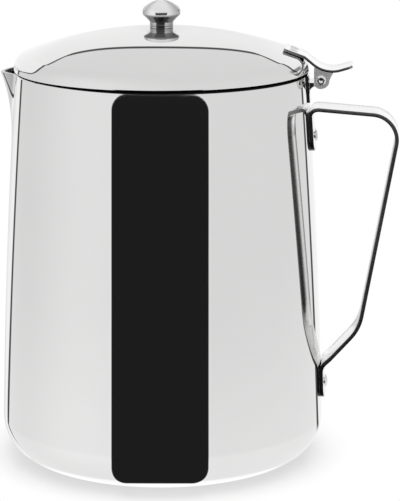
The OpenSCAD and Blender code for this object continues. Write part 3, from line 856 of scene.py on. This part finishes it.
# %% [markdown]
# The bracket is a small plate that is spot welded to the wall, with an arm that ends in the knuckle. Its
# back follows the round of the wall, so the plate is a grid that is bent to the wall, and the arm and knuckle
# are a thickened outline in front of it.

# %% The hinge bracket
KNUCKLE_R, BRACKET_T, BRACKET_DROP, ARM_T, HOLLOW_R, BRACKET_EASE = 2.6, 1.0, 11.6, 1.3, 3.4, 0.2
bracket_steel = steel("bracket_steel", 0.86, 0.05, 0.04, 0.00002, (300, 4200, 300))
half_w = LEVER_W / 2 - LEVER_T - 0.3
grid_y = np.linspace(-half_w, half_w, 17)
grid_z = np.linspace(RIM_Z - BRACKET_DROP, RIM_Z - 0.6, 9)
back = [[(math.sqrt((wall_r(z) + SEAT) ** 2 - y * y), y, z) for y in grid_y] for z in grid_z]
front = [[(x + BRACKET_T - SEAT - BRACKET_EASE, y, z) for x, y, z in row] for row in back]
plate_points = [p for row in back + front for p in row]
across, up = len(grid_y), len(grid_z)
plate_faces = []
for layer in (0, across * up):
    for r in range(up - 1):
        for c in range(across - 1):
            low, high = layer + r * across + c, layer + (r + 1) * across + c
            plate_faces.append((low, low + 1, high + 1, high))
loop = list(range(across)) + [r * across + across - 1 for r in range(1, up)]
loop += [(up - 1) * across + c for c in range(across - 2, -1, -1)]
loop += [r * across for r in range(up - 2, 0, -1)]
plate_faces += [(a, b, b + across * up, a + across * up) for a, b in zip(loop, loop[1:] + loop[:1])]

arm_z = PIN_Z - KNUCKLE_R
hollow_x = wall_r(arm_z - HOLLOW_R) + 0.3 + HOLLOW_R
arm_outline = arc((hollow_x, arm_z - HOLLOW_R), HOLLOW_R, 180, 90, 10)
arm_outline += arc((PIN_X, PIN_Z), KNUCKLE_R, -90, 210, 48) + [(hollow_x - HOLLOW_R, arm_z + ARM_T)]
points, faces = merge((plate_points, plate_faces), thick_outline(arm_outline, -half_w, half_w, BRACKET_EASE))
place_piece("hinge_arm", points, faces, [bracket_steel], "jug", ["hinge_bracket"])

# %% [markdown]
# The pin is a plain rod with a head peened over at each end, so each head has a small dimple from the punch.
# The two little rivets on the lever's pad are like those of the handle, only smaller.

# %% The hinge pin and the lever rivets
head = [(0.0, 0.45), (0.45, 0.5), (0.8, 0.72), (1.1, 0.8), (1.5, 0.72), (1.85, 0.5), (2.05, 0.2), (2.1, 0.0)]
top = [(r, LEVER_W / 2 + h) for r, h in head] + [(PIN_R, LEVER_W / 2)]
pin_outline = top + [(r, -z) for r, z in reversed(top)]
points, faces, _ = turn_round(pin_outline, even_turn(48), False)
points = np.stack([PIN_X + points[:, 0], points[:, 2], PIN_Z - points[:, 1]], -1)
place_piece("pin_rod", points, faces, [rivet_steel], "lid", ["hinge_pin"])

SMALL_R, SMALL_HEAD_R, SMALL_HEAD_H, SMALL_TAIL, PAIR_Y = 1.0, 1.9, 0.6, 0.6, 4.0
PAD_SAG = (8.0 + 3.8) ** 2 / (6 * DOME_R)  # how far the dome falls away under the pad
small = rivet_outline(SMALL_R, SMALL_HEAD_R, SMALL_HEAD_H, SEAT + LEVER_T, -LID_T - PAD_SAG - SEAT,
                      SMALL_TAIL)
points, faces, _ = turn_round(small, even_turn(40), False)
pair = [(lay_along(points, (PAD_X, y, dome_z(PAD_X)), pad_lean), faces) for y in (-PAIR_Y, PAIR_Y)]
points, faces = merge(*pair)
place_piece("pad_rivets", points, faces, [rivet_steel], "lid", ["lever_rivets"])

# %% [markdown]
# The screw and washer below the lid keep the shapes of the solids, which are right as they are, and take the
# plain steel of the rivets.

# %% The knob screw and washer
for name in ("knob_screw", "knob_washer"):
    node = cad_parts[name]
    node.data.materials.clear()
    node.data.materials.append(rivet_steel)
    print(name, "wears", node.data.materials[0].name)

# %% [markdown]
# A mirror needs a room. This one is a white tent: a bright sheet behind, greyer walls at the sides that
# lighten towards the table, a darker roof, and a dark opening in front where the camera stands. Panels could
# be set up all round, but the metal only asks in which direction it looks, so the room is written as a
# formula of direction in the world, and shown to reflections alone. The walls come first: they are lighter on
# the left in front, darker on the left behind and lighter near the table.

# %% The walls of the room
world = bpy.data.worlds.new("room")
scene.world = world
world.use_nodes = True
bench = Bench(world.node_tree)
direction = bench.add("ShaderNodeTexCoord")["Generated"]
DEG = 180 / math.pi


def bearing_of(x, y):
    """The bearing in degrees of a direction, counted from the front to the right."""
    return x.math("ARCTAN2", x, 0 - y) * DEG


def height_of(z):
    return z.math("ARCSINE", z) * DEG


def exp(power):
    return power.math("EXPONENT", power)


toward = bench.parts(direction)
east, north = toward["X"], toward["Y"]
bearing, height = bearing_of(east, north), height_of(toward["Z"])
WALL, LIGHT_SIDE, DIM_SIDE, NEAR_TABLE, ROOF = 0.825, 0.09, 0.045, 0.12, 0.02
light_side = (east * -0.83 + north * -0.56).at_least(0) ** 3
dim_side = (east * -0.95 + north * 0.3).at_least(0) ** 4
walls = WALL + LIGHT_SIDE * light_side - DIM_SIDE * dim_side + NEAR_TABLE * bench.fade(height, -8.0, -22.0)
walls = walls - ROOF * bench.fade(height, 0.0, 40.0)
print("walls", WALL, "of white")

# %% [markdown]
# The metal shows the white sheet behind wherever its surface leans back or sideways far enough. So the edge
# of the sheet is written over the lean of the surface that shows it, which lies halfway between the
# direction seen and the viewer: an upright on each side of the body, and an arch over the dome of the lid.
# Together they make one outline with round corners, and a dark line runs along it.


# %% The white sheet behind
LID_FRONT = (0.1067, -0.9819, 0.1564)  # the viewer, from the height of the lid
ARCH_LEFT, ARCH_RIGHT, BEND_FROM = -48.0, 66.0, 46.0  # where the arch ends and bends, in millimetres
ARCH_LINE, SIDE_LINE, SIDE_LINE_UPRIGHT, SWEEP_LINE = 2.3, 1.4, 0.6, 5.0  # how wide the dark line is
LINE_TONE, LINE_FADE = 0.08, 0.8


def leaning(front):
    """The bearing and lean, in degrees, of a surface that mirrors a direction to a viewer; its X and Y."""
    between = bench.add("ShaderNodeVectorMath", {"operation": "ADD"}, {0: direction, 1: front})["Vector"]
    flat = bench.add("ShaderNodeVectorMath", {"operation": "NORMALIZE"}, {0: between})["Vector"]
    part = bench.parts(flat)
    return bearing_of(part["X"], part["Y"]), height_of(part["Z"]), part["X"], part["Y"]


facing, lean, lean_x, lean_y = leaning(LID_FRONT)
upright = (4.5 - lean).at_most(0)
steep = exp(upright / 10.0)

# the two uprights, which come closer together on the round edge of the lid
left = -50.0 - 14.2 * exp(upright / 8.0)
left = left - 2.0 * bench.fade(lean, 48.0, 66.0) + 0.5 * (-15.0 - lean).at_least(0).at_most(30.0)
left = left - 8.0 * bench.fade(lean, 13.0, 9.0) * bench.fade(lean, 5.5, 7.5)
right = 66.0 + 10.1 * steep + 1.3 * bench.fade(lean, 50.0, 66.0)
sweep = bench.fade(lean, 17.0, 12.0) * bench.fade(lean, 8.5, 10.0)
line_wide = SIDE_LINE + SIDE_LINE_UPRIGHT * steep
past_side = ((left - facing) / (line_wide + SWEEP_LINE * sweep)).at_least((facing - right) / line_wide)

# the arch over the dome
over_x = (lean_x * DOME_R).at_least(ARCH_LEFT).at_most(ARCH_RIGHT)
bend = (over_x - BEND_FROM).at_least(0)
arch = -33.3 + over_x * (0.0511 + over_x * (0.00457 + over_x * (0.0000354 - 0.0000012 * over_x)))
past_arch = (lean_y * DOME_R - arch + 0.006 * bend * bend) / ARCH_LINE

# below 0 the metal shows the walls, from 0 to 1 the dark line and above 1 the sheet
past = (past_side.at_least(0) * past_side.at_least(0) + past_arch.at_least(0) * past_arch.at_least(0)) ** 0.5
past = past + past_side.at_least(past_arch).at_most(0)
sheet = 1.0 - 0.05 * bench.fade(lean, 60.0, 70.0) - 0.07 * bench.fade(lean_y, -0.05, 0.12)
sheet = sheet - 0.26 * bench.fade(left - facing, 4.0, 15.0) * bench.fade(lean, 20.0, 8.0)
line = LINE_TONE + LINE_FADE * bench.fade(lean, -18.0, -36.0)
room = sheet + (line - sheet) * bench.fade(past, 1.25, 0.85)
room = room + (walls - room) * bench.fade(past, 0.2, -0.2)

# a dim corner behind on the right, which the strip's upper side shows to the wall
corner = bench.fade(bearing, 122.0, 130.0) * bench.fade(bearing, 152.0, 142.0)
corner = corner * bench.fade(height, 2.0, 4.0) * bench.fade(height, 15.0, 11.0)
room = room * (1.0 - 0.7 * corner)
print("sheet and walls take", len(world.node_tree.nodes), "nodes")

# %% [markdown]
# The dark front shows where the metal faces the viewer, as a tall plate with round corners. It is written
# over the lean of the metal too, and laid out flat first, across the wall and down it. The foot below shows a
# bright line, because it looks down at the white table.

# %% The dark front
FOOT_FRONT = (0.1072, -0.9406, 0.3223)  # the viewer, from the height of the foot
WIDE, TALL, CORNER = 48.75, 193.85, 17.0  # half of the plate's width and height, and its corners
FRONT_TONE, FOOT_TONE, RIM_LIGHT = 0.0145, 1.17, 0.05
facing, lean = leaning(FOOT_FRONT)[:2]
room = room + (FOOT_TONE - room) * bench.fade(lean, -38.0, -45.0)
aside = ((facing - 5.3) * (facing - 5.3)).at_most(900.0)
rise = (height + (0.00139 + 0.00005 * height) * aside).at_least(-15.6)
below = (1.6 - lean - (0.0095 - 0.00024 * lean) * aside).at_least(0).at_most(70.0)
half = 19.31 + 0.2027 * rise + 0.00485 * rise * rise + 0.0016 * below * below
flat_x = (facing - 5.52 - 0.0313 * rise) / half * WIDE
flat_y = -199.85 - 23.98 * rise - 0.02 * rise * rise + 0.73 * below - 0.0042 * below * below
over_x = (abs(flat_x) - (WIDE - CORNER)).at_least(0)
over_y = (abs(flat_y) - (TALL - CORNER)).at_least(0)
outside_by = (over_x * over_x + over_y * over_y) ** 0.5 - CORNER
room = room + RIM_LIGHT * bench.fade(outside_by, 2.6, 0.8)
room = room + (FRONT_TONE - room) * bench.fade(outside_by, 0.6, -0.6)
print("dark front", FRONT_TONE, "of white")

# %% [markdown]
# The camera sees plain white, a reflection sees the room, and everything else is lit by an even grey. Light
# that comes to the table by way of the metal leaves the room out, so that no pattern of it falls there.

# %% What the room is shown to
PLAIN = 0.45
path = bench.add("ShaderNodeLightPath")
seen = path["Is Camera Ray"]
mirrored = path["Is Glossy Ray"].at_least(path["Is Transmission Ray"]) * (1 - seen)
first_hand = 1 - path["Diffuse Depth"].at_most(1.0)
level = seen + mirrored * first_hand * room + (1 - seen) * (1 - mirrored) * PLAIN
sky = bench.add("ShaderNodeBackground", None, {"Color": level, "Strength": 1.0})
bench.add("ShaderNodeOutputWorld", None, {"Surface": sky["Background"]})
print("room nodes", len(world.node_tree.nodes))

# %% [markdown]
# The table is pale and very slightly glossy. Close to the carafe it takes the soft shadow and a faint mirror
# image; further out it fades into the white of the background. Reflections skip it, because the room above
# already says what the metal sees below.

# %% The table
SIDE, TABLE_Z = 4.0, -0.0003
NEAR_WHITE, FADE_FROM, FADE_TO = 0.34, 0.06, 0.082  # the share of plain white at the foot, and where it grows
MATT, GLOW, SHEEN, SHEEN_HAZE = 0.8, 0.46, 0.12, 0.2
WHITE = grey(1.0)
table_mesh = bpy.data.meshes.new("table")
table_corners = [(x * SIDE, y * SIDE, TABLE_Z) for x, y in ((-1, -1), (1, -1), (1, 1), (-1, 1))]
table_mesh.from_pydata(table_corners, [], [(0, 1, 2, 3)])
table = bpy.data.objects.new("table", table_mesh)
scene.collection.objects.link(table)
table.visible_glossy = False

cloth, bench, place = blank("table_white")
away = radius_of(bench.parts(place))
far = NEAR_WHITE + (1 - NEAR_WHITE) * bench.fade(away, FADE_FROM, FADE_TO)
seen = bench.add("ShaderNodeLightPath")["Is Camera Ray"]
matt = bench.add("ShaderNodeBsdfDiffuse", None, {"Color": grey(MATT)})["BSDF"]
glow = bench.add("ShaderNodeEmission", None, {"Color": seen * GLOW, "Strength": 1.0})["Emission"]
sheen = bench.add("ShaderNodeBsdfGlossy", None, {"Color": WHITE, "Roughness": SHEEN_HAZE})["BSDF"]
lit = bench.add("ShaderNodeAddShader", None, {0: matt, 1: glow})["Shader"]
near = bench.add("ShaderNodeMixShader", None, {0: SHEEN, 1: lit, 2: sheen})["Shader"]
white = bench.add("ShaderNodeEmission", None, {"Color": WHITE, "Strength": 1.0})["Emission"]
both = bench.add("ShaderNodeMixShader", None, {0: far * seen, 1: near, 2: white})["Shader"]
bench.add("ShaderNodeOutputMaterial", None, {"Surface": both})
table_mesh.materials.append(cloth)
print("table", 2 * SIDE, "m wide")

# %% [markdown]
# One large soft lamp hangs overhead. It lights the table and makes the shadow; the steel doesn't mirror it,
# because a lamp's disk would show as a hot patch that the photograph doesn't have.

# %% The lamp
LAMP_PLACE, LAMP_AIM, LAMP_SIZE, LAMP_WATTS = Vector((0.1, 0.5, 1.6)), Vector((0, 0, 0.05)), 1.4, 8.0
lamp_data = bpy.data.lights.new("soft_lamp", "AREA")
lamp_data.shape = "DISK"
lamp_data.size = LAMP_SIZE
lamp_data.energy = LAMP_WATTS
lamp = bpy.data.objects.new("soft_lamp", lamp_data)
lamp.location = LAMP_PLACE
lamp.rotation_euler = (LAMP_AIM - LAMP_PLACE).to_track_quat("-Z", "Y").to_euler()
lamp.visible_glossy = False
scene.collection.objects.link(lamp)
print("lamp", lamp_data.energy, "W")

# %% [markdown]
